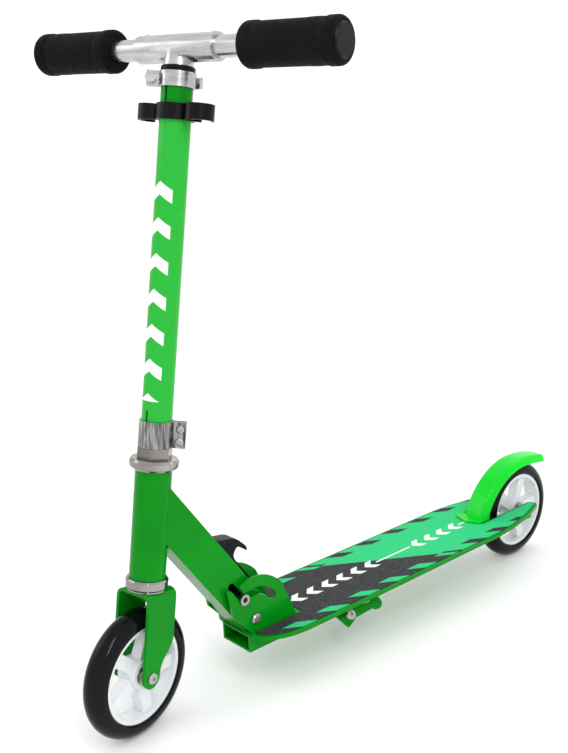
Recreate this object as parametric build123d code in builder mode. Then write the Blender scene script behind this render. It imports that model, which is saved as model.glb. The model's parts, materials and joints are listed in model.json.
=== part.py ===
"""Folding kick scooter, modelled in millimetres: +Z up, -Y forward, +X to the rider's left.

The origin is on the ground under the middle of the scooter. The steering assembly is turned a
little to the left, as it stands at rest. Four planes carry the design: HEAD and COLUMN share the
steering axis (COLUMN is turned with the handlebar), DECK lies in the top of the deck, and TUBE
runs up the down tube from the folding pivot.
"""
import os
from math import atan2, cos, degrees, hypot, radians, sin, sqrt

from build123d import *

# ---- Driving dimensions -------------------------------------------------------------------
WHEEL_RADIUS = 72.5
TYRE_HALF_WIDTH = 15.0
RIM_RADIUS = 54.5
HUB_HALF_WIDTH = 12.0
FRAME_SHIFT = -340.74           # moves the ground point of the steering axis into the row frame
REAR_AXLE_Y = 677.7 + FRAME_SHIFT
STEERING_RAKE = 8.27            # degrees, the top of the column leans to the rear
STEERING_REST = 13.0            # degrees, the bar's turn to the left at rest
FORK_OFFSET = 8.3               # front axle ahead of the steering axis
DECK_PITCH = 1.09               # degrees, the deck rises to the rear
DECK_HEIGHT = 76.8
DECK_CENTRE_Y = 350.0 + FRAME_SHIFT
DECK_HALF_WIDTH = 61.5
DECK_FRONT = -206.0
DECK_REAR = 345.0
DECK_SHEET = 2.2
DECK_LIP = 4.5
WHEEL_SLOT_FRONT = 229.5
WHEEL_SLOT_HALF = 20.5
CHANNEL_HALF_WIDTH = 25.0
CHANNEL_WALL = 2.5
CHANNEL_DEPTH = 21.5
PIVOT_Y = 152.6 + FRAME_SHIFT
PIVOT_Z = 89.1
DOWN_TUBE_ANGLE = 126.2         # degrees from rearward, seen from the left
DOWN_TUBE_TOP = 26.7            # top face, measured from the pivot
DOWN_TUBE_BOTTOM = -17.3
DOWN_TUBE_HALF = 18.0
DOWN_TUBE_WALL = 2.2
PLATE_INNER = 22.0
PLATE_THICKNESS = 3.2
PLATE_OUTER = PLATE_INNER + PLATE_THICKNESS
PLATE_RADIUS = 52.0
LOCK_ALONG = 33.6               # lock axle, along and across the down tube from the pivot
LOCK_ACROSS = 4.3
LOCK_RADIUS = 4.5
LOCK_TRAVEL = 20.0
FOLD_ANGLE = 82.0
AXLE_RADIUS = 3.97
AXLE_HOLE = 4.0
HEAD_TUBE_RADIUS = 19.8
COLUMN_RADIUS = 16.3
COLUMN_BORE = 14.4
STEERER_RADIUS = 14.3
CROWN_TOP = 165.5
HEAD_BOTTOM = 178.0
HEAD_TOP = 297.0
COLUMN_BOTTOM = 321.3
COLUMN_TOP = 703.0
BAR_HEIGHT = 726.4
BAR_SLEEVE_RADIUS = 14.1
BAR_SLEEVE_HALF = 51.0
STEM_RADIUS = 13.9
STEM_BOTTOM = 400.0
HANDLE_RADIUS = 11.0
GRIP_START = 86.0
GRIP_END = 193.5
GRIP_RADIUS = 22.2
BUTTON_X = 44.0
FORK_HALF = 23.5
FORK_PLATE = 3.5

os.makedirs("parts", exist_ok=True)


# ---- Frames -------------------------------------------------------------------------------
def within(frame, at=(0, 0, 0), x=(1, 0, 0), z=(0, 0, 1)):
    """A plane whose origin and directions are given in another plane's own coordinates."""
    return Plane(
        origin=frame.from_local_coords(Vector(*at)),
        x_dir=frame.from_local_coords(Vector(*x)) - frame.origin,
        z_dir=frame.from_local_coords(Vector(*z)) - frame.origin,
    )


def turned(angle):
    """Unit vector in a frame's own XY plane."""
    return (cos(radians(angle)), sin(radians(angle)), 0)


rake = radians(STEERING_RAKE)
HEAD = Plane(origin=(0, FRAME_SHIFT, 0), x_dir=(1, 0, 0), z_dir=(0, sin(rake), cos(rake)))
COLUMN = within(HEAD, x=turned(STEERING_REST))
pitch = radians(DECK_PITCH)
DECK = Plane(origin=(0, DECK_CENTRE_Y, DECK_HEIGHT), x_dir=(1, 0, 0), z_dir=(0, -sin(pitch), cos(pitch)))
SIDE = Plane(origin=(0, PIVOT_Y, PIVOT_Z), x_dir=(0, 1, 0), z_dir=(1, 0, 0))
TUBE = Plane(
    origin=(0, PIVOT_Y, PIVOT_Z),
    x_dir=(0, cos(radians(DOWN_TUBE_ANGLE)), sin(radians(DOWN_TUBE_ANGLE))),
    z_dir=(-1, 0, 0),
)
axle_along = (WHEEL_RADIUS - FORK_OFFSET * cos(radians(STEERING_REST)) * sin(rake)) / cos(rake)
FRONT_WHEEL = within(COLUMN, at=(0, -FORK_OFFSET, axle_along), x=(0, 1, 0), z=(1, 0, 0))
REAR_WHEEL = Plane(origin=(0, REAR_AXLE_Y, WHEEL_RADIUS), x_dir=(0, 1, 0), z_dir=(1, 0, 0))
BAR = within(COLUMN, at=(0, 0, BAR_HEIGHT), x=(0, 1, 0), z=(1, 0, 0))
lock_reach = hypot(LOCK_ALONG, LOCK_ACROSS)
lock_angle = DOWN_TUBE_ANGLE - degrees(atan2(LOCK_ACROSS, LOCK_ALONG))


def save(piece, name):
    """Label a finished piece and write its STEP file."""
    piece.part.label = name
    export_step(piece.part, f"parts/{name}.step")


def ring(plane, outer, inner, start, end):
    """A plain tube along a plane's normal, between two heights above the plane."""
    with BuildPart() as tube:
        with BuildSketch(plane.offset(start)):
            Circle(outer)
            if inner:
                Circle(inner, mode=Mode.SUBTRACT)
        extrude(amount=end - start)
    return tube


def turned_part(plane, profile):
    """A solid of revolution about a plane's normal, from (radius, height) points."""
    with BuildPart() as body:
        with BuildSketch(within(plane, x=(1, 0, 0), z=(0, -1, 0))):
            with BuildLine():
                Polyline(*profile, close=True)
            make_face()
        revolve(axis=Axis(plane.origin, plane.z_dir))
    return body


def coil(plane, radius, wire, pitch_mm, start, length):
    """A round-wire coil spring along a plane's normal."""
    with BuildPart() as spring:
        base = plane.offset(start)
        path = base.location * Helix(pitch=pitch_mm, height=length, radius=radius)
        with BuildSketch(Plane(origin=path @ 0, z_dir=path % 0)):
            Circle(wire / 2)
        sweep(path=path, is_frenet=True)
    return spring


def hex_nut(plane, flats, bore, start, end):
    """A hexagon nut along a plane's normal."""
    with BuildPart() as nut:
        with BuildSketch(plane.offset(start)):
            RegularPolygon(flats / sqrt(3), 6)
            Circle(bore, mode=Mode.SUBTRACT)
        extrude(amount=end - start)
    return nut


def socket_bolt(plane, shaft, head, head_height, start, end, socket=2.0):
    """A button-head bolt: its head stands on the plane's positive side, from `end` upwards."""
    with BuildPart() as bolt:
        with BuildSketch(plane.offset(start)):
            Circle(shaft)
        extrude(amount=end - start)
        with BuildSketch(plane.offset(end)):
            Circle(head)
        extrude(amount=head_height)
        top_edge = bolt.edges().filter_by(GeomType.CIRCLE).group_by(lambda e: e.length)[-1]
        chamfer(top_edge.sort_by_distance(plane.offset(end + 50).origin)[0], head_height * 0.45)
        with BuildSketch(plane.offset(end + head_height)):
            RegularPolygon(socket, 6)
        extrude(amount=-head_height * 0.7, mode=Mode.SUBTRACT)
    return bolt


# ---- Wheels -------------------------------------------------------------------------------
BEARING_RADIUS = 11.0
BEARING_WIDTH = 7.0
SPOKES = 5


def wheel(plane, prefix):
    """Tyre, spoked hub, two bearings and the spacer tube between them."""
    with BuildPart() as tyre:
        with BuildSketch(within(plane, x=(1, 0, 0), z=(0, -1, 0))):
            with BuildLine():
                ThreePointArc((62.5, -TYRE_HALF_WIDTH), (WHEEL_RADIUS, 0), (62.5, TYRE_HALF_WIDTH))
                Polyline(
                    (62.5, TYRE_HALF_WIDTH),
                    (RIM_RADIUS, TYRE_HALF_WIDTH - 1),
                    (RIM_RADIUS, 1 - TYRE_HALF_WIDTH),
                    (62.5, -TYRE_HALF_WIDTH),
                )
            make_face()
        revolve(axis=Axis(plane.origin, plane.z_dir))
    save(tyre, f"{prefix}_tyre")

    rim_inner = RIM_RADIUS - 4.5
    boss = 16.0
    with BuildPart() as hub:
        with BuildSketch(plane.offset(-HUB_HALF_WIDTH)):
            Circle(RIM_RADIUS)
            Circle(rim_inner, mode=Mode.SUBTRACT)
            Circle(boss)
        extrude(amount=2 * HUB_HALF_WIDTH)
        with BuildSketch(plane.offset(-7)):
            with PolarLocations((boss + rim_inner) / 2, SPOKES):
                Rectangle(rim_inner - boss + 3, 15)
            Circle(boss - 1, mode=Mode.SUBTRACT)
        extrude(amount=14)
        with BuildSketch(plane.offset(-HUB_HALF_WIDTH)):
            Circle(8.5)
        extrude(amount=2 * HUB_HALF_WIDTH, mode=Mode.SUBTRACT)
        for side in (-1, 1):
            with BuildSketch(plane.offset(side * HUB_HALF_WIDTH)):
                Circle(BEARING_RADIUS)
            extrude(amount=-side * BEARING_WIDTH, mode=Mode.SUBTRACT)
    save(hub, f"{prefix}_hub")

    with BuildPart() as bearings:
        for side in (-1, 1):
            with BuildSketch(plane.offset(side * HUB_HALF_WIDTH)):
                Circle(BEARING_RADIUS)
                Circle(AXLE_HOLE, mode=Mode.SUBTRACT)
            extrude(amount=-side * BEARING_WIDTH)
            with BuildSketch(plane.offset(side * HUB_HALF_WIDTH)):
                Circle(9.2)
                Circle(6.2, mode=Mode.SUBTRACT)
            extrude(amount=-side * 0.6, mode=Mode.SUBTRACT)
    save(bearings, f"{prefix}_bearings")
    inner_gap = HUB_HALF_WIDTH - BEARING_WIDTH
    save(ring(plane, 5.8, AXLE_HOLE + 0.05, -inner_gap, inner_gap), f"{prefix}_bearing_spacer")


def axle_spacers(plane, outer_face, name):
    """The pair of sleeves that centre a wheel between two plates."""
    with BuildPart() as sleeves:
        for side in (-1, 1):
            with BuildSketch(plane.offset(side * (HUB_HALF_WIDTH + 0.1))):
                Circle(6.0)
                Circle(AXLE_HOLE, mode=Mode.SUBTRACT)
            extrude(amount=side * (outer_face - HUB_HALF_WIDTH - 0.1))
    save(sleeves, name)


wheel(FRONT_WHEEL, "front")
wheel(REAR_WHEEL, "rear")

# ---- Fork and front axle ------------------------------------------------------------------
fork_inner = FORK_HALF - FORK_PLATE
fork_front = -FORK_OFFSET - 12.2
fork_rear = 22.5
arm_end = 12.2
with BuildPart() as fork:
    with BuildSketch(within(COLUMN, at=(0, fork_front, 0), z=(0, -1, 0))):
        with Locations((0, CROWN_TOP / 2)):
            RectangleRounded(2 * FORK_HALF, CROWN_TOP, 8.5)
        with Locations((0, (CROWN_TOP - FORK_PLATE) / 2)):
            RectangleRounded(2 * fork_inner, CROWN_TOP - FORK_PLATE, 5, mode=Mode.SUBTRACT)
    extrude(amount=fork_front - fork_rear)
    side_plane = within(COLUMN, x=(0, 1, 0), z=(1, 0, 0))
    with BuildSketch(side_plane):
        with BuildLine():
            Polyline(
                (-FORK_OFFSET - arm_end, axle_along),
                (-FORK_OFFSET - arm_end, CROWN_TOP + 1),
                (fork_rear, CROWN_TOP + 1),
                (fork_rear, 113),
            )
            Spline(
                (fork_rear, 113),
                (16, 97),
                (-FORK_OFFSET + arm_end, axle_along),
                tangents=((0, -1), (0, -1)),
            )
            ThreePointArc(
                (-FORK_OFFSET + arm_end, axle_along),
                (-FORK_OFFSET, axle_along - arm_end),
                (-FORK_OFFSET - arm_end, axle_along),
            )
        make_face()
    extrude(amount=FORK_HALF, both=True, mode=Mode.INTERSECT)
    with BuildSketch(FRONT_WHEEL):
        Circle(AXLE_HOLE)
    extrude(amount=FORK_HALF, both=True, mode=Mode.SUBTRACT)
    with BuildSketch(COLUMN.offset(CROWN_TOP)):
        Circle(STEERER_RADIUS)
    extrude(amount=-FORK_PLATE * 2, mode=Mode.SUBTRACT)
save(fork, "fork")

save(socket_bolt(FRONT_WHEEL, AXLE_RADIUS, 6.5, 3.2, -FORK_HALF - 6.5, FORK_HALF), "front_axle_bolt")
save(hex_nut(FRONT_WHEEL, 13, AXLE_RADIUS, -FORK_HALF - 5.5, -FORK_HALF), "front_axle_nut")
axle_spacers(FRONT_WHEEL, fork_inner, "front_axle_spacers")

# ---- Headset and steering column ----------------------------------------------------------
BALL_RADIUS = 1.6
BALL_CIRCLE = 20.0
save(ring(COLUMN, STEERER_RADIUS, 12.0, CROWN_TOP - FORK_PLATE, 362), "steerer_tube")
save(
    turned_part(
        COLUMN,
        [(14.3, CROWN_TOP), (22.4, CROWN_TOP), (22.4, 167), (21.0, 168), (14.3, 168)],
    ),
    "crown_race",
)
save(
    turned_part(
        HEAD,
        [(16.9, 171.5), (21.9, 171.5), (21.9, 168.5), (23.1, 168.5), (23.1, 176), (21.5, 178),
         (17.45, 178), (17.45, 187), (16.9, 187)],
    ),
    "lower_cup",
)
save(
    turned_part(
        HEAD,
        [(16.9, 301.5), (16.9, 288), (17.45, 288), (17.45, 297), (22.5, 297), (24.6, 299.5),
         (24.6, 304), (23.0, 304), (22.0, 301.5)],
    ),
    "upper_cup",
)
save(
    turned_part(
        COLUMN,
        [(14.3, 305.2), (24.9, 305.2), (24.9, 300), (26.0, 300), (26.8, 302.5), (26.8, 306),
         (24.5, 309), (14.3, 309)],
    ),
    "adjusting_race",
)
with BuildPart() as headset_balls:
    for height in (169.75, 303.35):
        with Locations(HEAD.offset(height).location):
            with PolarLocations(BALL_CIRCLE, 18):
                Sphere(BALL_RADIUS)
save(headset_balls, "headset_balls")
save(hex_nut(COLUMN, 33.5, STEERER_RADIUS, 309.1, 321), "head_lock_nut")

with BuildPart() as head_tube:
    with BuildSketch(HEAD.offset(HEAD_BOTTOM)):
        Circle(HEAD_TUBE_RADIUS)
        Circle(17.5, mode=Mode.SUBTRACT)
    extrude(amount=HEAD_TOP - HEAD_BOTTOM)
save(head_tube, "head_tube")

with BuildPart() as steering_tube:
    with BuildSketch(COLUMN.offset(COLUMN_BOTTOM)):
        Circle(COLUMN_RADIUS)
        Circle(COLUMN_BORE, mode=Mode.SUBTRACT)
    extrude(amount=COLUMN_TOP - COLUMN_BOTTOM)
    for low, high in ((COLUMN_BOTTOM - 4, 361), (664, COLUMN_TOP + 4)):
        with BuildSketch(within(COLUMN, at=(0, -10, (low + high) / 2), x=(0, 0, 1), z=(0, -1, 0))):
            SlotOverall(high - low, 3)
        extrude(amount=10, mode=Mode.SUBTRACT)
save(steering_tube, "steering_tube")


def split_clamp(plane, height, wall, ear_reach, ear_thickness, gap, bolt_x, bolt_heights):
    """A band round the column with two ears along the plane's own X axis, drilled for bolts."""
    inner = COLUMN_RADIUS + 0.05
    with BuildPart() as clamp:
        with BuildSketch(plane):
            Circle(inner + wall)
            with Locations(((inner + ear_reach) / 2, 0)):
                Rectangle(ear_reach - inner, 2 * ear_thickness + gap)
            Circle(inner, mode=Mode.SUBTRACT)
            with Locations((inner + ear_reach / 2, 0)):
                Rectangle(ear_reach + 4, gap, mode=Mode.SUBTRACT)
        extrude(amount=height)
        for bolt_height in bolt_heights:
            with BuildSketch(within(plane, at=(bolt_x, 0, bolt_height), z=(0, -1, 0))):
                Circle(2.6)
            extrude(amount=8, both=True, mode=Mode.SUBTRACT)
    return clamp


LOWER_EARS = within(COLUMN, at=(0, 0, 321.3), x=turned(36))
lower_bolt_x = 25.5
lower_bolt_heights = (7.5, 20.5)
save(
    split_clamp(LOWER_EARS, 28.0, 2.2, 31.5, 3.4, 2.6, lower_bolt_x, lower_bolt_heights),
    "lower_clamp",
)
with BuildPart() as lower_clamp_bolts:
    for height in lower_bolt_heights:
        across = within(LOWER_EARS, at=(lower_bolt_x, 0, height), z=(0, -1, 0))
        add(socket_bolt(across, 2.5, 4.3, 3.0, -7.5, 4.75, 1.8).part)
save(lower_clamp_bolts, "lower_clamp_bolts")

with BuildPart() as grip_clip:
    wing_x, wing_inner, wing_outer = 31.5, 12.0, 15.0
    with BuildSketch(COLUMN.offset(656)):
        Circle(COLUMN_RADIUS + 3.6)
        with Locations((-wing_x, 0), (wing_x, 0)):
            Circle(wing_outer)
        with Locations((-wing_x, 0), (wing_x, 0)):
            Circle(wing_inner, mode=Mode.SUBTRACT)
            with Locations((0, wing_outer)):
                Rectangle(15, 2 * wing_inner, mode=Mode.SUBTRACT)
        Circle(COLUMN_RADIUS + 3.6)
        Circle(COLUMN_RADIUS + 0.05, mode=Mode.SUBTRACT)
    extrude(amount=16)
save(grip_clip, "grip_clip")

TOP_EARS = within(COLUMN, at=(0, 0, 688), x=turned(216))
top_bolt_x = 26.0
top_mid = 7.5
save(split_clamp(TOP_EARS, 15.0, 2.4, 31.0, 3.0, 3.0, top_bolt_x, (top_mid,)), "top_clamp")
CLAMP_BOLT = within(TOP_EARS, at=(top_bolt_x, 0, top_mid), z=(0, -1, 0))
cam_along = 9.5
cam_pin = 2.0
shank_end = 4.6                 # short of the cam, whose rim starts at 4.9
tongue_start = 4.2
tongue_end = 13.2
with BuildPart() as top_clamp_bolt:
    with BuildSketch(CLAMP_BOLT.offset(-11)):
        Circle(2.5)
    extrude(amount=11 + shank_end)
    with BuildSketch(CLAMP_BOLT.offset(-11.5)):
        Circle(5.6)
        with PolarLocations(5.6, 12):
            Circle(0.7, mode=Mode.SUBTRACT)
    extrude(amount=6.8)
    with BuildSketch(within(CLAMP_BOLT, at=(0, -2.2, 0), z=(0, 1, 0))):
        with Locations((0, -(tongue_start + tongue_end) / 2)):
            Rectangle(5, tongue_end - tongue_start)
    extrude(amount=4.4)
    with BuildSketch(within(CLAMP_BOLT, at=(0, 0, cam_along), z=(0, 1, 0))):
        Circle(cam_pin + 0.05)
    extrude(amount=10, both=True, mode=Mode.SUBTRACT)
save(top_clamp_bolt, "top_clamp_bolt")

# The lever wraps round the back of the band, from its cam beside the ears.
CAM = within(TOP_EARS, at=(top_bolt_x, -cam_along, top_mid))
with BuildPart() as top_clamp_lever:
    with BuildSketch(CAM.offset(-5.5)):
        Circle(4.6)
    extrude(amount=11)
    with BuildSketch(TOP_EARS.offset(top_mid - 5.5)):
        with BuildLine():
            wrap = CenterArc((0, 0), 24, -30, -135)
            Line((top_bolt_x, -cam_along), wrap @ 0)
        trace(line_width=3)
    extrude(amount=11)
    with BuildSketch(CAM.offset(-2.5)):
        Circle(8)
    extrude(amount=5, mode=Mode.SUBTRACT)
    with BuildSketch(CAM.offset(-5.5)):
        Circle(cam_pin)
    extrude(amount=11)
save(top_clamp_lever, "top_clamp_lever")

save(
    turned_part(
        COLUMN,
        [(14.0, 690), (14.35, 690), (14.35, 703), (17.0, 703), (17.4, 704), (17.4, 707.5),
         (16.6, 708.5), (14.0, 708.5)],
    ),
    "bar_bushing",
)

# ---- T-bar, handles, grips and snap buttons ----------------------------------------------
with BuildPart() as t_bar:
    with BuildSketch(COLUMN.offset(STEM_BOTTOM)):
        Circle(STEM_RADIUS)
    extrude(amount=BAR_HEIGHT - STEM_BOTTOM)
    with BuildSketch(COLUMN.offset(708.8)):
        Circle(15.6)
    extrude(amount=8, taper=6)
    with BuildSketch(BAR.offset(-BAR_SLEEVE_HALF)):
        Circle(BAR_SLEEVE_RADIUS)
    extrude(amount=2 * BAR_SLEEVE_HALF)
    with BuildSketch(BAR.offset(-BAR_SLEEVE_HALF)):
        Circle(HANDLE_RADIUS + 0.05)
    extrude(amount=2 * BAR_SLEEVE_HALF, mode=Mode.SUBTRACT)
    with BuildSketch(COLUMN.offset(STEM_BOTTOM)):
        Circle(STEM_RADIUS - 2)
    extrude(amount=705 - STEM_BOTTOM, mode=Mode.SUBTRACT)
    for side in (-1, 1):
        with BuildSketch(within(COLUMN, at=(side * BUTTON_X, 0, BAR_HEIGHT))):
            Circle(3.1)
        extrude(amount=20, mode=Mode.SUBTRACT)
save(t_bar, "t_bar")


def handle(side, name):
    """Handle tube, foam grip, end plug and snap button on one side of the bar."""
    out = within(BAR, x=(1, 0, 0), z=(0, 0, side))
    tube_tip = GRIP_END - 6.5
    with BuildPart() as tube:
        with BuildSketch(out.offset(4)):
            Circle(HANDLE_RADIUS)
            Circle(9.2, mode=Mode.SUBTRACT)
        extrude(amount=tube_tip - 4)
        slot_end = BUTTON_X + 3.4
        with BuildSketch(within(COLUMN, at=(side * slot_end / 2, 0, BAR_HEIGHT + 5))):
            SlotOverall(slot_end, 6.8)
        extrude(amount=10, mode=Mode.SUBTRACT)
        with BuildSketch(within(COLUMN, at=(side * 8, 0, BAR_HEIGHT + 5))):
            Rectangle(16, 6.8)
        extrude(amount=10, mode=Mode.SUBTRACT)
    save(tube, f"{name}_handle_tube")

    bore = HANDLE_RADIUS + 0.02
    start, end, radius = GRIP_START, GRIP_END, GRIP_RADIUS
    save(
        turned_part(
            out,
            [(bore, start), (radius - 3, start), (radius, start + 2.5), (radius, start + 14),
             (radius - 1.2, start + 16), (radius - 1.2, end - 16), (radius, end - 14),
             (radius, end - 3.5), (radius - 3.5, end), (bore, end)],
        ),
        f"{name}_grip",
    )
    save(
        turned_part(
            out,
            [(0, tube_tip + 0.2), (10.9, tube_tip + 0.2), (10.9, end), (16.5, end), (15, end + 2),
             (0, end + 2)],
        ),
        f"{name}_grip_plug",
    )
    button_plane = within(COLUMN, at=(side * BUTTON_X, 0, BAR_HEIGHT))
    save(
        turned_part(button_plane, [(0, 6), (3, 6), (3, 13.6), (2.2, 14.6), (1, 15.0), (0, 15.0)]),
        f"{name}_snap_button",
    )


handle(1, "left")
handle(-1, "right")

# ---- Down tube, folding pivot and lock ----------------------------------------------------
tube_end = 13.5
bore_middle = 83.0
bore_length = 300.0
spring_stop = 100.0
with BuildPart() as down_tube:
    with BuildSketch(TUBE):
        with BuildLine():
            Polyline(
                (-8.6, 10.4),
                (8.2, DOWN_TUBE_TOP),
                (230, DOWN_TUBE_TOP),
                (230, DOWN_TUBE_BOTTOM),
                (-4, DOWN_TUBE_BOTTOM),
                (-9.6, -9.5),
            )
            ThreePointArc((-9.6, -9.5), (-tube_end, 0.4), (-8.6, 10.4))
        make_face()
    extrude(amount=DOWN_TUBE_HALF, both=True)
    with BuildSketch(TUBE):
        with Locations((bore_middle, (DOWN_TUBE_TOP + DOWN_TUBE_BOTTOM) / 2)):
            Rectangle(bore_length, DOWN_TUBE_TOP - DOWN_TUBE_BOTTOM - 2 * DOWN_TUBE_WALL)
    extrude(amount=DOWN_TUBE_HALF - DOWN_TUBE_WALL, both=True, mode=Mode.SUBTRACT)
    with BuildSketch(HEAD):
        Circle(HEAD_TUBE_RADIUS)
        with Locations((0, -60)):
            Rectangle(120, 120)
    extrude(amount=400, mode=Mode.SUBTRACT)
    with BuildSketch(TUBE):
        Circle(7.1)
        with Locations((LOCK_ALONG + LOCK_TRAVEL / 2, LOCK_ACROSS)):
            SlotOverall(LOCK_TRAVEL + 10, 10)
    extrude(amount=DOWN_TUBE_HALF + 1, both=True, mode=Mode.SUBTRACT)
    with BuildSketch(within(TUBE, at=(0, DOWN_TUBE_TOP - 5, 0), z=(0, 1, 0))):
        with Locations((LOCK_ALONG + LOCK_TRAVEL / 2, 0)):
            SlotOverall(LOCK_TRAVEL + 12, 8)
    extrude(amount=10, mode=Mode.SUBTRACT)
    with BuildSketch(TUBE):
        with Locations((spring_stop, LOCK_ACROSS)):
            Circle(3)
    extrude(amount=DOWN_TUBE_HALF - 1, both=True)
save(down_tube, "down_tube")

with BuildPart() as pivot_bushings:
    for side in (-1, 1):
        with BuildSketch(TUBE.offset(side * 1.0)):
            Circle(7.05)
            Circle(4.05, mode=Mode.SUBTRACT)
        extrude(amount=side * (DOWN_TUBE_HALF - 1.0))
        with BuildSketch(TUBE.offset(side * DOWN_TUBE_HALF)):
            Circle(10)
            Circle(4.05, mode=Mode.SUBTRACT)
        extrude(amount=side * (PLATE_INNER - DOWN_TUBE_HALF - 0.2))
save(pivot_bushings, "pivot_bushings")

LOCK_CAM = within(TUBE, at=(LOCK_ALONG, LOCK_ACROSS, PLATE_OUTER + 9), z=(0, 1, 0))
with BuildPart() as lock_axle:
    with BuildSketch(TUBE.offset(-PLATE_OUTER - 0.5)):
        with Locations((LOCK_ALONG, LOCK_ACROSS)):
            Circle(LOCK_RADIUS)
    extrude(amount=2 * PLATE_OUTER + 4)
    with BuildSketch(TUBE.offset(-PLATE_OUTER - 0.4)):
        with Locations((LOCK_ALONG, LOCK_ACROSS)):
            Circle(6.6)
    extrude(amount=-2.6)
    with BuildSketch(TUBE.offset(-PLATE_OUTER - 3)):
        with Locations((LOCK_ALONG, LOCK_ACROSS)):
            Circle(3.2)
    extrude(amount=8, mode=Mode.SUBTRACT)
    with BuildSketch(TUBE.offset(PLATE_OUTER + 3.4)):
        with Locations((LOCK_ALONG, LOCK_ACROSS)):
            Rectangle(8, 4)
    extrude(amount=9.5)
    with BuildSketch(LOCK_CAM):
        Circle(2.05)
    extrude(amount=5, both=True, mode=Mode.SUBTRACT)
save(lock_axle, "lock_axle")

with BuildPart() as lock_washers:
    for face, radius, thickness in ((PLATE_OUTER + 0.4, 8.5, 1.4), (PLATE_OUTER + 1.8, 6.5, 1.5)):
        with BuildSketch(TUBE.offset(face)):
            with Locations((LOCK_ALONG, LOCK_ACROSS)):
                Circle(radius)
                Circle(LOCK_RADIUS, mode=Mode.SUBTRACT)
        extrude(amount=thickness)
save(lock_washers, "lock_washers")

with BuildPart() as lock_lever:
    for side in (-1, 1):
        with BuildSketch(LOCK_CAM.offset(side * 2.3)):
            Circle(5.0)
        extrude(amount=side * 2.6)
    with BuildSketch(LOCK_CAM.offset(-4.9)):
        with BuildLine():
            ThreePointArc((3, -3.2), (26, -6.5), (52, 0.5))
        trace(line_width=2.6)
    extrude(amount=9.8)
    with BuildSketch(LOCK_CAM.offset(-2.3)):
        Circle(8)
    extrude(amount=4.6, mode=Mode.SUBTRACT)
    with BuildSketch(LOCK_CAM.offset(-4.9)):
        Circle(2.0)
    extrude(amount=9.8)
save(lock_lever, "lock_lever")

with BuildPart() as lock_trigger:
    with BuildSketch(TUBE):
        with BuildLine():
            Polyline((20, 27.1), (103, 27.1), (104.5, 30.5), (96, 39.5))
            Spline((96, 39.5), (87, 47.5), (73, 51.2), (61.5, 49.2), tangents=((-1, 1), (-0.5, -0.9)))
            Spline(
                (61.5, 49.2), (70, 47.2), (76, 43.5), (74.5, 36), (66, 31.6),
                tangents=((0.6, -0.2), (-1, -0.1)),
            )
            Polyline((66, 31.6), (24, 31.6), (20, 29.5), (20, 27.1))
        make_face()
    extrude(amount=9, both=True)
    with BuildSketch(TUBE):
        with Locations((LOCK_ALONG, 16)):
            Rectangle(7, 23)
        with Locations((LOCK_ALONG, LOCK_ACROSS)):
            Circle(8)
            Circle(LOCK_RADIUS, mode=Mode.SUBTRACT)
    extrude(amount=3.4, both=True)
save(lock_trigger, "lock_trigger")
SPRING = within(TUBE, at=(0, LOCK_ACROSS, 0), x=(0, 1, 0), z=(1, 0, 0))
save(coil(SPRING, 5.2, 1.3, 4.4, LOCK_ALONG + 9, spring_stop - LOCK_ALONG - 12.8), "lock_spring")


def fold_plate(side, name):
    """One cheek of the folding bracket, with its release notch and the slot the lock follows."""
    front_base = (-6.8, -16.1)
    rear_base = (61.8, -14.8)
    horn = (-40.2, 46.5)
    slot_half = LOCK_RADIUS + 0.5
    rim_start = (PLATE_RADIUS * cos(radians(37)), PLATE_RADIUS * sin(radians(37)))
    rim_middle = (PLATE_RADIUS * cos(radians(80)), PLATE_RADIUS * sin(radians(80)))
    rim_end = (PLATE_RADIUS * cos(radians(122)), PLATE_RADIUS * sin(radians(122)))
    with BuildPart() as plate:
        with BuildSketch(SIDE.offset(side * PLATE_INNER)):
            with BuildLine():
                ThreePointArc(rim_start, rim_middle, rim_end)
                Polyline(rim_end, horn, (-32, 10.4), front_base, rear_base, rim_start)
            make_face()
            Circle(AXLE_HOLE, mode=Mode.SUBTRACT)
            with BuildLine():
                near = CenterArc((0, 0), lock_reach - slot_half, lock_angle - FOLD_ANGLE, FOLD_ANGLE)
                far = CenterArc((0, 0), lock_reach + slot_half, lock_angle - FOLD_ANGLE, FOLD_ANGLE)
                Line(near @ 0, far @ 0)
                Line(near @ 1, far @ 1)
            make_face(mode=Mode.SUBTRACT)
            with PolarLocations(lock_reach, 2, lock_angle - FOLD_ANGLE, FOLD_ANGLE, endpoint=True):
                Circle(slot_half, mode=Mode.SUBTRACT)
        extrude(amount=side * PLATE_THICKNESS)
        with BuildSketch(TUBE.offset(-side * PLATE_INNER)):
            with Locations((LOCK_ALONG + 20, LOCK_ACROSS)):
                Rectangle(40, 2 * LOCK_RADIUS + 1)
        extrude(amount=-side * PLATE_THICKNESS, mode=Mode.SUBTRACT)
    save(plate, name)


fold_plate(1, "left_fold_plate")
fold_plate(-1, "right_fold_plate")
save(socket_bolt(SIDE, AXLE_RADIUS, 6.5, 3.2, -PLATE_OUTER - 6.5, PLATE_OUTER), "fold_pivot_bolt")

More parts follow.
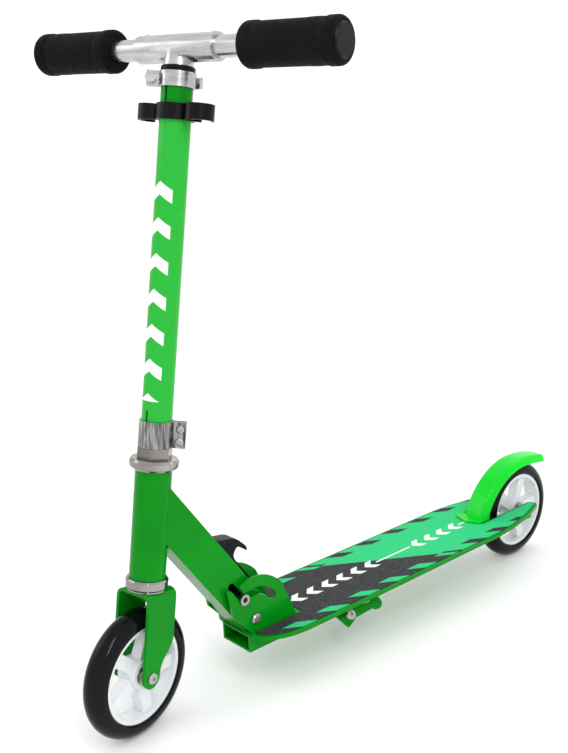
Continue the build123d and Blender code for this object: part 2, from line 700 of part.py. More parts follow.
# ---- Deck ---------------------------------------------------------------------------------
def deck_outline(inset=0.0):
    """The deck seen from above, with the rear wheel's slot, drawn in by an even margin."""
    half = DECK_HALF_WIDTH - inset
    front = DECK_FRONT + inset
    corner = 27 - inset / 2
    shoulder = (50 - 0.7 * inset, -190 + 0.7 * inset)
    tip_y = 338 - inset
    slot = WHEEL_SLOT_HALF + inset
    slot_front = WHEEL_SLOT_FRONT - inset
    slot_corner = 5
    with BuildSketch() as outline:
        with BuildLine():
            Line((0, front), (corner, front))
            Spline((corner, front), shoulder, (half, -110), tangents=((1, 0), (0, 1)))
            Line((half, -110), (half, 205))
            Spline((half, 205), (54.8 - inset, 272), (37 - inset, tip_y), tangents=((0, 1), (-0.4, 1)))
            ThreePointArc((37 - inset, tip_y), (28.7, DECK_REAR - inset), (slot, tip_y))
            Line((slot, tip_y), (slot, slot_front + slot_corner))
            RadiusArc((slot, slot_front + slot_corner), (slot - slot_corner, slot_front), slot_corner)
            Line((slot - slot_corner, slot_front), (0, slot_front))
            mirror(about=Plane.YZ)
        make_face()
    return outline.sketch


with BuildPart() as deck_plate:
    with BuildSketch(DECK):
        add(deck_outline())
    extrude(amount=-DECK_SHEET)
    with BuildSketch(DECK.offset(-DECK_SHEET)):
        add(deck_outline())
        add(deck_outline(DECK_SHEET), mode=Mode.SUBTRACT)
        with Locations((0, DECK_REAR)):
            Rectangle(2 * (WHEEL_SLOT_HALF + DECK_SHEET + 4), 260, mode=Mode.SUBTRACT)
        with Locations((0, DECK_FRONT)):
            Rectangle(2 * CHANNEL_HALF_WIDTH + 1, 10, mode=Mode.SUBTRACT)
    extrude(amount=DECK_SHEET - DECK_LIP)
save(deck_plate, "deck_plate")

TAPE = 1.0
with BuildPart() as grip_tape:
    with BuildSketch(DECK):
        add(deck_outline(4.0))
        with Locations((0, DECK_FRONT)):
            Rectangle(2 * PLATE_OUTER + 6, 156, mode=Mode.SUBTRACT)
    extrude(amount=TAPE)
save(grip_tape, "grip_tape")

fender_pin_y, fender_pin_z = 240.0, -13.0
FENDER_PIN = within(DECK, at=(0, fender_pin_y, fender_pin_z), x=(0, 1, 0), z=(1, 0, 0))
channel_top = -DECK_SHEET
channel_bottom = channel_top - CHANNEL_DEPTH
with BuildPart() as deck_channel:
    with BuildSketch(within(DECK, at=(0, DECK_FRONT - 2, 0), x=(1, 0, 0), z=(0, 1, 0))):
        with Locations((0, -(channel_top + channel_bottom) / 2)):
            Rectangle(2 * CHANNEL_HALF_WIDTH, CHANNEL_DEPTH)
            Rectangle(
                2 * (CHANNEL_HALF_WIDTH - CHANNEL_WALL),
                CHANNEL_DEPTH - 2 * CHANNEL_WALL,
                mode=Mode.SUBTRACT,
            )
    extrude(amount=DECK_REAR - DECK_FRONT - 1)
    with BuildSketch(DECK):
        with Locations((0, WHEEL_SLOT_FRONT + 75)):
            Rectangle(2 * (CHANNEL_HALF_WIDTH - CHANNEL_WALL), 150)
    extrude(amount=-40, mode=Mode.SUBTRACT)
    with BuildSketch(FENDER_PIN):
        Circle(3.0)
    extrude(amount=CHANNEL_HALF_WIDTH, both=True, mode=Mode.SUBTRACT)
    with BuildSketch(REAR_WHEEL):
        Circle(AXLE_HOLE)
    extrude(amount=CHANNEL_HALF_WIDTH, both=True, mode=Mode.SUBTRACT)
save(deck_channel, "deck_channel")

channel = CHANNEL_HALF_WIDTH
save(socket_bolt(REAR_WHEEL, AXLE_RADIUS, 6.5, 3.2, -channel - 6.5, channel), "rear_axle_bolt")
axle_spacers(REAR_WHEEL, channel - CHANNEL_WALL, "rear_axle_spacers")
with BuildPart() as deck_lock_nuts:
    add(hex_nut(REAR_WHEEL, 13, AXLE_RADIUS, -channel - 5.5, -channel).part)
    add(hex_nut(SIDE, 13, AXLE_RADIUS, -PLATE_OUTER - 5.5, -PLATE_OUTER).part)
save(deck_lock_nuts, "deck_lock_nuts")

# ---- Brake fender -------------------------------------------------------------------------
save(socket_bolt(FENDER_PIN, 2.97, 5.0, 2.4, -channel, channel, 1.6), "fender_pin")
FENDER_HALF = 20.0
fender_wall = 2.2
crown_y = 683.0 + FRAME_SHIFT
crown_z = 152.5
front_radius = 105.9
tail_radius = 232.0
skirt_depth = 10.0
# The cross-section: a flat crown at the sketch's origin, rounded into a sloping skirt on each side.
crown_half = 13.5
shoulder_radius = 4.5
skirt_run = FENDER_HALF - crown_half
skirt_length = hypot(skirt_run, skirt_depth)
wall_across = fender_wall * skirt_length / skirt_depth
inner_crown_half = crown_half - wall_across + fender_wall * skirt_run / skirt_depth
with BuildSketch() as fender_section:
    with BuildLine():
        Polyline(
            (-FENDER_HALF, -skirt_depth),
            (-crown_half, 0),
            (crown_half, 0),
            (FENDER_HALF, -skirt_depth),
            (FENDER_HALF - wall_across, -skirt_depth),
            (inner_crown_half, -fender_wall),
            (-inner_crown_half, -fender_wall),
            (wall_across - FENDER_HALF, -skirt_depth),
            close=True,
        )
    make_face()
    section_corners = fender_section.vertices()
    fillet(section_corners.filter_by_position(Axis.Y, -0.1, 0.1), shoulder_radius)
    inner_corners = section_corners.filter_by_position(Axis.Y, -fender_wall - 0.1, -fender_wall + 0.1)
    fillet(inner_corners, shoulder_radius - fender_wall)

CROWN = Plane(origin=(0, crown_y, crown_z), x_dir=(-1, 0, 0), z_dir=(0, 1, 0))
with BuildPart() as fender:
    with BuildSketch(CROWN):
        add(fender_section.sketch)
    revolve(axis=Axis((0, crown_y, crown_z - front_radius), (1, 0, 0)), revolution_arc=70)
    with BuildSketch(CROWN):
        add(fender_section.sketch)
    revolve(axis=Axis((0, crown_y, crown_z - tail_radius), (-1, 0, 0)), revolution_arc=12.5)
    tail_y = crown_y + 41
    with BuildSketch(Plane.XY):
        with Locations((0, tail_y)):
            Rectangle(60, 40)
            Ellipse(FENDER_HALF + 0.5, 17, mode=Mode.SUBTRACT)
            with Locations((0, -20)):
                Rectangle(60, 40, mode=Mode.SUBTRACT)
    extrude(amount=200, mode=Mode.SUBTRACT)
    with BuildSketch(DECK.offset(TAPE + 0.5)):
        with BuildLine():
            Polyline((-20, 236), (-21.5, 222), (0, 214), (21.5, 222), (20, 236), close=True)
        make_face()
    extrude(amount=fender_wall)
    for side in (-1, 1):
        with BuildSketch(within(DECK, at=(side * 17.0, 0, 0), x=(0, 1, 0), z=(1, 0, 0))):
            with BuildLine():
                Polyline(
                    (fender_pin_y - 5.5, fender_pin_z),
                    (fender_pin_y - 5.5, 3),
                    (fender_pin_y + 9, 12),
                    (fender_pin_y + 5.5, fender_pin_z),
                )
                ThreePointArc(
                    (fender_pin_y + 5.5, fender_pin_z),
                    (fender_pin_y, fender_pin_z - 5.5),
                    (fender_pin_y - 5.5, fender_pin_z),
                )
            make_face()
        extrude(amount=side * 2.6)
    with BuildSketch(FENDER_PIN):
        Circle(3.0)
    extrude(amount=CHANNEL_HALF_WIDTH, both=True, mode=Mode.SUBTRACT)
save(fender, "fender")
save(coil(FENDER_PIN, 4.6, 1.4, 2.2, -11, 22), "fender_spring")

# ---- Kickstand ----------------------------------------------------------------------------
splay = radians(38.5)
STAND = Plane(
    origin=(44, 283.0 + FRAME_SHIFT, 52.0),
    x_dir=(0, 1, 0),
    z_dir=(cos(splay), 0, sin(splay)),
)
with BuildPart() as kickstand_bracket:
    with BuildSketch(STAND.offset(-2.8)):
        with BuildLine():
            Polyline((-27, 29), (22, 29), (12, -7), (-3, -13), close=True)
        make_face()
        Circle(AXLE_HOLE, mode=Mode.SUBTRACT)
    extrude(amount=-3)
    split(bisect_by=DECK.offset(-DECK_SHEET), keep=Keep.BOTTOM)
    split(bisect_by=Plane.YZ.offset(CHANNEL_HALF_WIDTH), keep=Keep.TOP)
save(kickstand_bracket, "kickstand_bracket")
with BuildPart() as kickstand_leg:
    with BuildSketch(STAND.offset(-2.5)):
        Circle(9)
        with BuildLine():
            Polyline((0, -6.5), (44, -4.5), (44, 4.5), (0, 6.5), close=True)
        make_face()
        with Locations((50, 0)):
            Circle(8)
        Circle(AXLE_HOLE + 0.05, mode=Mode.SUBTRACT)
    extrude(amount=5)
save(kickstand_leg, "kickstand_leg")
save(socket_bolt(STAND, AXLE_RADIUS, 7.0, 2.5, -9, 6.5), "kickstand_bolt")
save(coil(STAND, 5.6, 1.2, 1.3, 3.5, 2.0), "kickstand_spring")
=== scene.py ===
import json
import math

import bmesh
import bpy
from mathutils import Matrix, Vector


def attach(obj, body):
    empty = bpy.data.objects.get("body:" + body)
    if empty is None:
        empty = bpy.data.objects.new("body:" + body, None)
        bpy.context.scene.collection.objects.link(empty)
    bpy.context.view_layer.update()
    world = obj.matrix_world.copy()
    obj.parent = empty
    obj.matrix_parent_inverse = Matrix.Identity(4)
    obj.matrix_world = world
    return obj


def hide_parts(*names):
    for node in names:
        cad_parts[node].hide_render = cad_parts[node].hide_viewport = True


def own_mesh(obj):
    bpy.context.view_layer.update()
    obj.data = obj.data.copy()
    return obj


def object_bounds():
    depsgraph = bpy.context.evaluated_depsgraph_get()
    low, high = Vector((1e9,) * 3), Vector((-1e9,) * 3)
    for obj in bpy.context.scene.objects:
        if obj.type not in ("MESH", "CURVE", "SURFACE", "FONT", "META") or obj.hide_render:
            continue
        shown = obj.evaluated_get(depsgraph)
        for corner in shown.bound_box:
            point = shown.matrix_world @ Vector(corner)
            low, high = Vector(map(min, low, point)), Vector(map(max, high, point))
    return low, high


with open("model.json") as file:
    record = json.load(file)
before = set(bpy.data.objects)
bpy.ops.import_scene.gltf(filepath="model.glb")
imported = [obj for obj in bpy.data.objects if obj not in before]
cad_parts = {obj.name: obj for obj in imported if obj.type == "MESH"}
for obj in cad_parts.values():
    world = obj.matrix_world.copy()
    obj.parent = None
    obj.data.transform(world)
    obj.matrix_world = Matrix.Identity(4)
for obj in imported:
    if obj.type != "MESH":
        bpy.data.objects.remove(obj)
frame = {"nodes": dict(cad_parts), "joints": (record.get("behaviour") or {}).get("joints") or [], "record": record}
cad_lo, cad_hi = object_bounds()
nodes = frame["nodes"]
joints = {j["name"]: j for j in frame["joints"]}
mounts = {m["name"]: m for m in frame["record"]["mounts"]}


# ---- Frames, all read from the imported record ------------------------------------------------
def basis(origin, x, y, z):
    m = Matrix.Identity(4)
    for i, v in enumerate((x, y, z)):
        m.col[i][:3] = Vector(v).normalized()
    m.col[3][:3] = Vector(origin)
    return m


column_axis = Vector(joints["steering"]["axis"])
column_left = Vector(joints["front_wheel_spin"]["axis"])
column_back = column_axis.cross(column_left)
COLUMN = basis(joints["steering"]["pos_m"], column_left, column_back, column_axis)

up_deck = -Vector(mounts["channel_underside"]["axis"])
deck_origin = Vector(mounts["channel_underside"]["pos_m"])
deck_along = up_deck.cross(Vector((1, 0, 0)))
DECK = basis(deck_origin, (1, 0, 0), deck_along, up_deck)

tube_along = -Vector(joints["lock_pull"]["axis"])
tube_up = -Vector(joints["lock_lever_turn"]["axis"])
TUBE = basis(joints["fold"]["pos_m"], tube_along, tube_up, tube_along.cross(tube_up))


def wheel_frame(joint):
    axis = Vector(joints[joint]["axis"])
    side = axis.cross(Vector((0, 0, 1))).normalized()
    return basis(joints[joint]["pos_m"], side, axis.cross(side), axis)


def local_box(node, m):
    """Lowest and highest corner of a CAD node in a frame's own directions."""
    inverse = m.inverted()
    points = [inverse @ v.co for v in nodes[node].data.vertices]
    return (
        Vector([min(p[i] for p in points) for i in range(3)]),
        Vector([max(p[i] for p in points) for i in range(3)]),
    )


# ---- Node material helpers ------------------------------------------------------------------
# Half the width over which a drawn edge fades, and the share of fine detail in a noise.
EDGE_FADE, NOISE_ROUGHNESS = 0.0004, 0.55
# How far two normals agree where an edge counts as worn, and where it doesn't.
CORNER_RANGE = (0.90, 0.995)


class Graph:
    def __init__(self, name):
        self.mat = bpy.data.materials.new(name)
        self.mat.use_nodes = True
        self.tree = self.mat.node_tree
        self.tree.nodes.clear()
        self.out = self.add("ShaderNodeOutputMaterial")
        self.bsdf = self.add("ShaderNodeBsdfPrincipled")
        self.link(self.bsdf.outputs["BSDF"], self.out.inputs["Surface"])
        self.coord = self.add("ShaderNodeTexCoord").outputs["Object"]

    def add(self, kind, **values):
        node = self.tree.nodes.new(kind)
        for key, value in values.items():
            setattr(node, key, value)
        return node

    def link(self, a, b):
        self.tree.links.new(a, b)

    def put(self, value, socket):
        if isinstance(value, bpy.types.NodeSocket):
            self.link(value, socket)
        else:
            socket.default_value = value

    def math(self, op, a, b=None, clamp=False):
        node = self.add("ShaderNodeMath", operation=op, use_clamp=clamp)
        self.put(a, node.inputs[0])
        if b is not None:
            self.put(b, node.inputs[1])
        return node.outputs[0]

    def between(self, value, low, high, soft=EDGE_FADE):
        """1 where value lies between low and high."""
        rise = self.step(value, low, soft)
        fall = self.step(value, high, soft)
        return self.math("MULTIPLY", rise, self.math("SUBTRACT", 1.0, fall))

    def step(self, value, edge, soft=EDGE_FADE):
        """Rises from 0 to 1 as value passes edge."""
        node = self.add("ShaderNodeMapRange", interpolation_type="SMOOTHSTEP")
        self.put(value, node.inputs[0])
        node.inputs[1].default_value, node.inputs[2].default_value = edge - soft, edge + soft
        return node.outputs[0]

    def noise(self, scale, detail=4.0, vector=None):
        node = self.add("ShaderNodeTexNoise")
        self.put(vector or self.coord, node.inputs["Vector"])
        node.inputs["Scale"].default_value = scale
        node.inputs["Detail"].default_value = detail
        node.inputs["Roughness"].default_value = NOISE_ROUGHNESS
        return node.outputs["Fac"]

    def remap(self, value, low, high, a=0.35, b=0.65):
        node = self.add("ShaderNodeMapRange")
        self.put(value, node.inputs[0])
        for i, v in enumerate((a, b, low, high), 1):
            node.inputs[i].default_value = v
        return node.outputs[0]

    def mix(self, factor, a, b):
        node = self.add("ShaderNodeMix", data_type="RGBA")
        self.put(factor, node.inputs["Factor"])
        for value, socket in ((a, node.inputs[6]), (b, node.inputs[7])):
            self.put(value if isinstance(value, bpy.types.NodeSocket) else (*value, 1), socket)
        return node.outputs[2]

    def mix_value(self, factor, a, b):
        """a where factor is 0 and b where it is 1."""
        return self.math("ADD", a, self.math("MULTIPLY", factor, b - a))

    def local(self, m):
        """The object coordinate in a frame's own directions, as three sockets."""
        found = []
        for i in range(3):
            axis = m.col[i].to_3d()
            dot = self.add("ShaderNodeVectorMath", operation="DOT_PRODUCT")
            self.link(self.coord, dot.inputs[0])
            dot.inputs[1].default_value = axis
            found.append(self.math("SUBTRACT", dot.outputs["Value"], axis.dot(m.translation)))
        return found

    def edge(self, radius):
        """1 along convex edges, from how far a rounded normal turns away."""
        bevel = self.add("ShaderNodeBevel", samples=4)
        bevel.inputs["Radius"].default_value = radius
        geo = self.add("ShaderNodeNewGeometry")
        dot = self.add("ShaderNodeVectorMath", operation="DOT_PRODUCT")
        self.link(bevel.outputs[0], dot.inputs[0])
        self.link(geo.outputs["Normal"], dot.inputs[1])
        return self.remap(dot.outputs["Value"], 1.0, 0.0, *CORNER_RANGE), bevel.outputs[0]

    def bump(self, height, strength, distance, normal):
        node = self.add("ShaderNodeBump")
        self.put(height, node.inputs["Height"])
        node.inputs["Strength"].default_value = strength
        node.inputs["Distance"].default_value = distance
        self.link(normal, node.inputs["Normal"])
        return node.outputs["Normal"]


MOTTLE_SCALE, WEAR_SCALE, WEAR_RANGE, COAT_ROUGHNESS = 9.0, 140.0, (0.45, 0.7), 0.05


def finish_of(
    name, low, high, rough, metallic=0.0, coat=0.0, grain=60.0, bump=0.08, depth=0.0003,
    worn=None, worn_share=0.3, edge=0.0006, stretch=None, specular=0.5,
):
    """A material with mottled colour, uneven roughness, fine bump and wear on its edges."""
    g = Graph(name)
    vector = None
    if stretch:
        mapping = g.add("ShaderNodeMapping")
        g.link(g.coord, mapping.inputs["Vector"])
        mapping.inputs["Scale"].default_value = stretch
        vector = mapping.outputs[0]
    colour = g.mix(g.remap(g.noise(MOTTLE_SCALE, vector=vector), 0.0, 1.0), low, high)
    mask, rounded = g.edge(edge)
    if worn:
        patchy = g.remap(g.noise(WEAR_SCALE), 0.0, worn_share, *WEAR_RANGE)
        colour = g.mix(g.math("MULTIPLY", mask, patchy), colour, worn)
    g.link(colour, g.bsdf.inputs["Base Color"])
    g.link(g.remap(g.noise(grain, vector=vector), rough[0], rough[1]), g.bsdf.inputs["Roughness"])
    g.link(g.bump(g.noise(grain * 5, vector=vector), bump, depth, rounded), g.bsdf.inputs["Normal"])
    g.bsdf.inputs["Metallic"].default_value = metallic
    g.bsdf.inputs["Specular IOR Level"].default_value = specular
    g.bsdf.inputs["Coat Weight"].default_value = coat
    g.bsdf.inputs["Coat Roughness"].default_value = COAT_ROUGHNESS
    return g


GREEN_LOW, GREEN_HIGH = (0.0, 0.185, 0.004), (0.0, 0.235, 0.007)
MINT_LOW, MINT_HIGH = (0.012, 0.43, 0.14), (0.025, 0.58, 0.21)
CHARCOAL = (0.02, 0.021, 0.023)
WHITE = (0.76, 0.8, 0.78)

materials = {
    "frame_paint": finish_of("frame_paint", GREEN_LOW, GREEN_HIGH, (0.14, 0.22), coat=0.05,
                             grain=45, bump=0.05, worn=(0.03, 0.34, 0.05), specular=0.08).mat,
    "fender_paint": finish_of("fender_paint", (0.0, 0.5, 0.014), (0.0, 0.62, 0.024), (0.08, 0.13),
                              coat=0.12, grain=30, bump=0.02, worn=(0.04, 0.6, 0.08),
                              worn_share=0.1, specular=0.12).mat,
    "satin_aluminium": finish_of("satin_aluminium", (0.4, 0.39, 0.39), (0.56, 0.55, 0.55),
                                 (0.18, 0.3), 1.0, grain=30, bump=0.004, worn=(0.75, 0.75, 0.76),
                                 stretch=(3, 3, 24)).mat,
    # The lower clamp's streaks run up it from dark to light: painted reflection bands, a painted vertical sheen
    # over its brushed grain.
    "clamp_painted_sheen": finish_of("clamp_painted_sheen", (0.06, 0.056, 0.053), (0.42, 0.41, 0.4),
                                 (0.18, 0.32), 1.0, grain=30, bump=0.02, worn=(0.6, 0.6, 0.6),
                                 stretch=(40, 40, 1.5)).mat,
    "headset_chrome": finish_of("headset_chrome", (0.13, 0.12, 0.11), (0.4, 0.38, 0.36),
                                (0.05, 0.11), 1.0, grain=25, bump=0.02).mat,
    "nut_steel": finish_of("nut_steel", (0.14, 0.13, 0.125), (0.26, 0.25, 0.24), (0.16, 0.28), 1.0,
                           grain=50, worn=(0.6, 0.58, 0.56)).mat,
    "bolt_zinc": finish_of("bolt_zinc", (0.28, 0.28, 0.265), (0.45, 0.44, 0.42), (0.18, 0.32), 1.0,
                           grain=60, worn=(0.7, 0.7, 0.7)).mat,
    "spring_steel": finish_of("spring_steel", (0.25, 0.25, 0.25), (0.4, 0.4, 0.4), (0.22, 0.34),
                              1.0, grain=80).mat,
    "black_plastic": finish_of("black_plastic", (0.002, 0.002, 0.0025), (0.005, 0.005, 0.006),
                               (0.26, 0.4), grain=90, bump=0.12, worn=(0.02, 0.02, 0.02),
                               specular=0.12).mat,
    "grip_foam": finish_of("grip_foam", (0.002, 0.002, 0.0024), (0.005, 0.005, 0.0058),
                           (0.55, 0.75), grain=260, bump=0.5, depth=0.0005, edge=0.001,
                           specular=0.06).mat,
    "tyre_urethane": finish_of("tyre_urethane", (0.0016, 0.002, 0.0024), (0.004, 0.005, 0.0055),
                               (0.12, 0.2), coat=0.04, grain=40, bump=0.04,
                               worn=(0.012, 0.012, 0.013), specular=0.1).mat,
    "hub_plastic": finish_of("hub_plastic", (0.62, 0.635, 0.66), (0.72, 0.735, 0.755), (0.2, 0.3),
                             coat=0.08, grain=35, bump=0.04, worn=(0.55, 0.56, 0.58),
                             specular=0.3).mat,
}


def column_material():
    """Pearly film round the middle of the tube, with a column of plain chevrons down its front."""
    g = finish_of("column_paint", GREEN_LOW, GREEN_HIGH, (0.14, 0.22), coat=0.05, grain=40,
                  bump=0.04, specular=0.08)
    x, y, z = g.local(COLUMN)
    low, high = local_box("steering_tube", COLUMN)
    length = high.z - low.z
    film_below, film_above, film_fade = 0.06, 0.09, 0.0006
    film = g.between(z, low.z + film_below * length, high.z - film_above * length, film_fade)
    base = g.bsdf.inputs["Base Color"].links[0].from_socket
    pearl_scale, pearl_low, pearl_high = 900.0, (0.016, 0.35, 0.03), (0.026, 0.41, 0.044)
    pearl = g.mix(g.remap(g.noise(pearl_scale), 0.0, 1.0), pearl_low, pearl_high)
    colour = g.mix(film, base, pearl)
    front = g.math("SUBTRACT", 1.0, g.step(y, 0.0))
    pitch, stroke, slope, half_width = 0.036, (0.006, 0.019), 0.7, 0.0122
    row_start, row_length = 0.13, 0.615
    start = low.z + row_start * length
    aside = g.math("ABSOLUTE", x)
    row = g.math("MODULO", g.math("ADD", z, g.math("MULTIPLY", aside, slope)), pitch)
    chevron = g.between(row, *stroke)
    band = g.between(z, start, start + row_length * length)
    inside = g.math("SUBTRACT", 1.0, g.step(aside, half_width))
    mark = g.math("MULTIPLY", g.math("MULTIPLY", chevron, band), g.math("MULTIPLY", inside, front))
    g.link(g.mix(mark, colour, WHITE), g.bsdf.inputs["Base Color"])
    return g.mat


def tape_material():
    """Charcoal grit at the front and mint at the rear, with slanted wedges along both edges."""
    g = finish_of("deck_tape", CHARCOAL, CHARCOAL, (0.6, 0.8), grain=300, bump=0.7, depth=0.0005,
                  specular=0.2)
    x, y, _ = g.local(DECK)
    low, high = local_box("grip_tape", DECK)
    length = high.y - low.y
    aside = g.math("ABSOLUTE", x)
    # Every wedge and the split between the two colours lean the same way.
    lean, wedge_pitch, wedge_span, wedge_depth = 1.55, 0.054, (0.01, 0.032), 0.0136
    slant = g.math("SUBTRACT", y, g.math("MULTIPLY", x, lean))
    split, split_fade = 0.447, 0.0006
    rear = g.step(slant, low.y + split * length, split_fade)
    # The shift sets where the wedges fall, and keeps what MODULO is given above zero.
    wedge_shift = 1.98
    wave = g.math("MODULO", g.math("ADD", slant, wedge_shift), wedge_pitch)
    wedge = g.math("MULTIPLY", g.between(wave, *wedge_span), g.step(aside, high.x - wedge_depth))
    grit_scale, grit_range = 900.0, (0.3, 0.72)
    grit = g.noise(grit_scale, 2.0)
    dark = g.mix(g.remap(grit, 0.0, 1.0, *grit_range), (0.01, 0.0105, 0.012), (0.045, 0.047, 0.05))
    # The bright specks are painted glints: the grit's sparkle painted into the base colour.
    sparkle_scale, sparkle_size, pick_scale, pick_above = 620.0, 0.24, 400.0, 0.55
    sparkle = g.add("ShaderNodeTexVoronoi")
    sparkle.inputs["Scale"].default_value = sparkle_scale
    g.link(g.coord, sparkle.inputs["Vector"])
    glint = g.math("LESS_THAN", sparkle.outputs["Distance"], sparkle_size)
    pick = g.math("GREATER_THAN", g.noise(pick_scale, 1.0), pick_above)
    dark = g.mix(g.math("MULTIPLY", glint, pick), dark, (0.22, 0.225, 0.24))
    mint = g.mix(g.remap(grit, 0.0, 1.0, *grit_range), MINT_LOW, MINT_HIGH)
    swap = g.math("ABSOLUTE", g.math("SUBTRACT", rear, wedge))
    colour = g.mix(swap, dark, mint)
    # A thin line down the middle, broken by two rows of plain chevrons.
    chevron_half, line_half, stroke = 0.0095, 0.0013, (0.005, 0.016)
    front_row, rear_row, line_start = 0.14, 0.55, 0.02
    front_count, rear_count = 6, 4
    along = g.math("SUBTRACT", y, aside)
    pitch, start, again = 0.026, low.y + front_row * length, low.y + rear_row * length
    rows = g.math("ADD", g.between(along, start, start + front_count * pitch),
                  g.between(along, again, again + rear_count * pitch), True)
    # The count restarts just ahead of the rear row.
    ahead = 0.004
    offset = g.math("SUBTRACT", along, g.mix_value(g.step(along, again - ahead), start, again))
    # Whole pitches are added so that MODULO is never given less than zero.
    whole = 20
    row = g.math("MODULO", g.math("ADD", offset, whole * pitch), pitch)
    chevron = g.math("MULTIPLY", g.between(row, *stroke),
                     g.math("SUBTRACT", 1.0, g.step(aside, chevron_half)))
    line = g.math("SUBTRACT", 1.0, g.step(aside, line_half))
    line = g.math("MULTIPLY", line, g.math("SUBTRACT", 1.0, rows))
    line = g.math("MULTIPLY", line, g.step(y, low.y + line_start * length))
    mark = g.math("ADD", line, g.math("MULTIPLY", chevron, rows), True)
    g.link(g.mix(mark, colour, WHITE), g.bsdf.inputs["Base Color"])
    return g.mat


materials["column_paint"] = column_material()
materials["deck_tape"] = tape_material()

# Edges that turn by more degrees than these stay sharp.
CAD_CORNER, PIECE_CORNER = 32, 35
WELD_GAP = 0.000002
# The lower clamp takes the material with painted vertical sheen bands.
finish_for = {"lower_clamp": "clamp_painted_sheen"}
for row in frame["record"]["subparts"]:
    node = nodes[row["node"]]
    node.data.materials.clear()
    node.data.materials.append(materials[finish_for.get(row["node"], row["material_slot"])])
    weld = node.modifiers.new("weld", "WELD")
    weld.merge_threshold = WELD_GAP
    normals = node.modifiers.new("corners", "EDGE_SPLIT")
    normals.split_angle = math.radians(CAD_CORNER)
    for face in node.data.polygons:
        face.use_smooth = True


# ---- Pieces built as meshes -----------------------------------------------------------------
def place(name, bm, m, body, slot, stands_for):
    """Turns bm, drawn in frame m, into a piece that rides on a body and replaces CAD nodes."""
    mesh = bpy.data.meshes.new(name)
    bmesh.ops.recalc_face_normals(bm, faces=bm.faces)
    bm.to_mesh(mesh)
    bm.free()
    mesh.transform(m)
    for face in mesh.polygons:
        face.use_smooth = True
    mesh.materials.append(materials[slot])
    piece = bpy.data.objects.new(name, mesh)
    bpy.context.scene.collection.objects.link(piece)
    split = piece.modifiers.new("corners", "EDGE_SPLIT")
    split.split_angle = math.radians(PIECE_CORNER)
    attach(piece, body)
    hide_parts(*stands_for)
    return piece


def lathe(profile, segments):
    """A closed ring turned from (radius, height) points, about local z."""
    bm = bmesh.new()
    angles = [2 * math.pi * i / segments for i in range(segments)]
    rings = [
        [bm.verts.new((r * math.cos(a), r * math.sin(a), h)) for a in angles]
        for r, h in profile
    ]
    for a, b in zip(rings, rings[1:] + rings[:1]):
        for i in range(segments):
            j = (i + 1) % segments
            bm.faces.new([a[i], a[j], b[j], b[i]])
    return bm


def arc(cx, cy, r, start, end, count):
    return [
        (cx + r * math.cos(math.radians(start + (end - start) * i / count)),
         cy + r * math.sin(math.radians(start + (end - start) * i / count)))
        for i in range(count + 1)
    ]


# The tread's radius and the bead's half width, as shares of the tyre's half width.
TYRE_ROUND, TYRE_BEAD = 0.98, 0.86
# How far the bead's two points stand off the rim, and half the tread's arc in degrees.
BEAD_FOOT, BEAD_SHOULDER, TREAD_ARC, TYRE_SEGMENTS = 0.0002, 0.002, 84, 144
for side in ("front", "rear"):
    m = wheel_frame(side + "_wheel_spin")
    low, high = local_box(side + "_tyre", m)
    outer, half = high.x, high.z
    rim = local_box(side + "_hub", m)[1].x
    radius = half * TYRE_ROUND
    crown = outer - radius
    bead = [(rim + BEAD_FOOT, half * TYRE_BEAD), (rim + BEAD_SHOULDER, half * TYRE_ROUND)]
    tread = [(r, -h) for r, h in bead]
    tread += arc(crown, 0, radius, -TREAD_ARC, TREAD_ARC, 28)
    tread += reversed(bead)
    place(side + "_tyre_round", lathe(tread, TYRE_SEGMENTS), m, side + "_wheel", "tyre_urethane",
          [side + "_tyre"])


def smooth(t):
    """Rises from 0 to 1 as t does, level at both ends."""
    t = min(max(t, 0.0), 1.0)
    return t * t * (3 - 2 * t)


GRIP_LIP, GRIP_RIB, RIB_LENGTH, RIB_FADE = 0.0045, 0.0009, 0.0125, 0.003
GRIP_SEGMENTS, BORE_GAP, BORE_INSET, LIP_SHARE = 120, 0.00004, 0.0004, 0.93
# Where the faint rib begins to rise and to fall, in twelfths of the grip, and its share of a rib.
FAINT_RISE, FAINT_FALL, FAINT_SHARE = 7.6, 9.2, 0.35


def grip_stations(start, end):
    """Heights along a grip, close together where its ends turn over."""
    turns, spans = 8, 60
    turn = [GRIP_LIP * (1 - math.cos(math.radians(90 * i / turns))) for i in range(turns + 1)]
    span = end - start - 2 * turn[-1]
    between = [start + turn[-1] + span * i / spans for i in range(1, spans)]
    return [start + t for t in turn] + between + [end - t for t in reversed(turn)]


for side in ("left", "right"):
    sign = 1 if side == "left" else -1
    m = basis(COLUMN.translation, column_back * sign, column_axis, column_left * sign)
    low, high = local_box(side + "_grip", m)
    middle = (low.y + high.y) / 2
    middle_x = (low.x + high.x) / 2
    m = m @ Matrix.Translation((middle_x, middle, 0))
    outer, start, end = (high.y - low.y) / 2, low.z, high.z
    bore = local_box(side + "_handle_tube", m)[1].y + BORE_GAP
    profile = [(bore, start + BORE_INSET)]
    for z in grip_stations(start, end):
        near = min(z - start, end - z)
        # A full rib at each end, and a faint one about three quarters of the way out.
        rib = 1 - smooth((near - RIB_LENGTH) / RIB_FADE)
        twelfth = (z - start) / (end - start) * 12
        faint = FAINT_SHARE * (smooth(twelfth - FAINT_RISE) - smooth(twelfth - FAINT_FALL))
        lip = max(0.0, 1 - near / GRIP_LIP)
        drop = GRIP_LIP * (1 - math.sqrt(1 - lip * lip)) * LIP_SHARE
        profile.append((outer - GRIP_RIB * (1 - max(rib, faint)) - drop, z))
    profile.append((bore, end - BORE_INSET))
    place(side + "_grip_foam", lathe(profile, GRIP_SEGMENTS), m, side + "_handle", "grip_foam",
          [side + "_grip"])
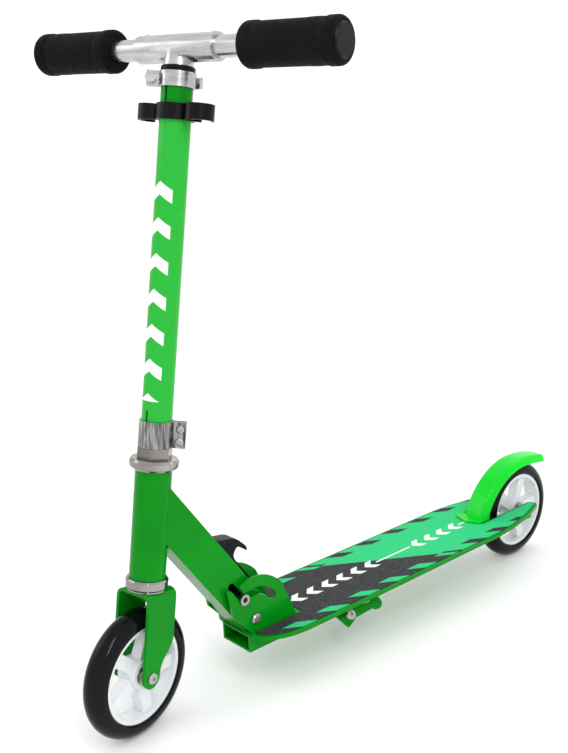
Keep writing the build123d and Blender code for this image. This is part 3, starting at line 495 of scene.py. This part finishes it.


# ---- The lock spring, a fixed coil riding on the lock (the real one shortens as the trigger is pulled) ---
COIL_RADIUS, COIL_PITCH = 0.0052, 0.0044
COIL_STEPS, WIRE_SIDES = 24, 10
low, high = local_box("lock_spring", TUBE)
centre = (low + high) / 2
wire = (high.y - low.y) / 2 - COIL_RADIUS
run = high.x - low.x - 2 * wire
count = int(COIL_STEPS * run / COIL_PITCH)
bm = bmesh.new()
loops = []
for i in range(count + 1):
    turn = 2 * math.pi * run / COIL_PITCH * i / count
    out = Vector((0, math.cos(turn), math.sin(turn)))
    ahead = Vector((COIL_PITCH / (2 * math.pi * COIL_RADIUS), -math.sin(turn), math.cos(turn)))
    side = ahead.normalized().cross(out)
    spine = Vector((low.x + wire + run * i / count, centre.y, centre.z)) + out * COIL_RADIUS
    loops.append([
        bm.verts.new(spine + wire * (math.cos(b) * out + math.sin(b) * side))
        for b in (2 * math.pi * k / WIRE_SIDES for k in range(WIRE_SIDES))
    ])
for first, second in zip(loops, loops[1:]):
    for k in range(WIRE_SIDES):
        j = (k + 1) % WIRE_SIDES
        bm.faces.new([first[k], first[j], second[j], second[k]])
bm.faces.new(loops[0])
bm.faces.new(loops[-1])
lock_coil = place("lock_coil", bm, TUBE, "lock", "spring_steel", ["lock_spring"])
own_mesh(lock_coil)


# ---- Floor, light and camera ----------------------------------------------------------------
FLOOR_REACH, SKY_STRENGTH = 9, 1.12
bm = bmesh.new()
bmesh.ops.create_grid(bm, x_segments=8, y_segments=8, size=FLOOR_REACH)
floor_mesh = bpy.data.meshes.new("floor")
bm.to_mesh(floor_mesh)
bm.free()
floor = bpy.data.objects.new("floor", floor_mesh)
bpy.context.scene.collection.objects.link(floor)
floor.location.z = cad_lo.z
g = Graph("floor_paper")
g.link(g.mix(g.remap(g.noise(2.0), 0.0, 1.0), (0.885, 0.885, 0.885), (0.9, 0.9, 0.9)),
       g.bsdf.inputs["Base Color"])
g.bsdf.inputs["Roughness"].default_value = 0.75
floor_mesh.materials.append(g.mat)

world = bpy.data.worlds.new("studio")
bpy.context.scene.world = world
world.use_nodes = True
backdrop = world.node_tree.nodes["Background"]
backdrop.inputs["Color"].default_value = (1, 1, 1, 1)
backdrop.inputs["Strength"].default_value = SKY_STRENGTH

middle = (cad_lo + cad_hi) / 2
for name, at, width, height, watts in (
    ("key", (1.7, -0.9, 1.5), 0.14, 1.4, 20),
    ("fill", (-1.5, -1.5, 1.1), 1.2, 1.2, 6),
    ("back", (0.3, 1.9, 1.8), 1.2, 1.2, 10),
):
    lamp = bpy.data.lights.new(name, "AREA")
    lamp.shape, lamp.size, lamp.size_y, lamp.energy = "RECTANGLE", width, height, watts
    light = bpy.data.objects.new(name, lamp)
    light.location = middle + Vector(at)
    light.rotation_euler = (middle - light.location).to_track_quat("-Z", "Y").to_euler()
    bpy.context.scene.collection.objects.link(light)
bpy.context.scene.view_settings.view_transform = "Standard"

# Where the camera stands, and its turn, downward tilt and roll in degrees.
CAMERA_AT, TURN, DOWN, ROLL = (0.8486, -0.84974, 0.6345), 48.99, 13.74, -1.75
camera_data = bpy.data.cameras.new("camera")
camera_data.lens, camera_data.sensor_width = 47.68, 36.0
camera = bpy.data.objects.new("camera", camera_data)
camera.matrix_world = (
    Matrix.Translation(CAMERA_AT)
    @ Matrix.Rotation(math.radians(TURN), 4, "Z")
    @ Matrix.Rotation(math.radians(90 - DOWN), 4, "X")
    @ Matrix.Rotation(math.radians(ROLL), 4, "Z")
)
bpy.context.scene.collection.objects.link(camera)
bpy.context.scene.camera = camera
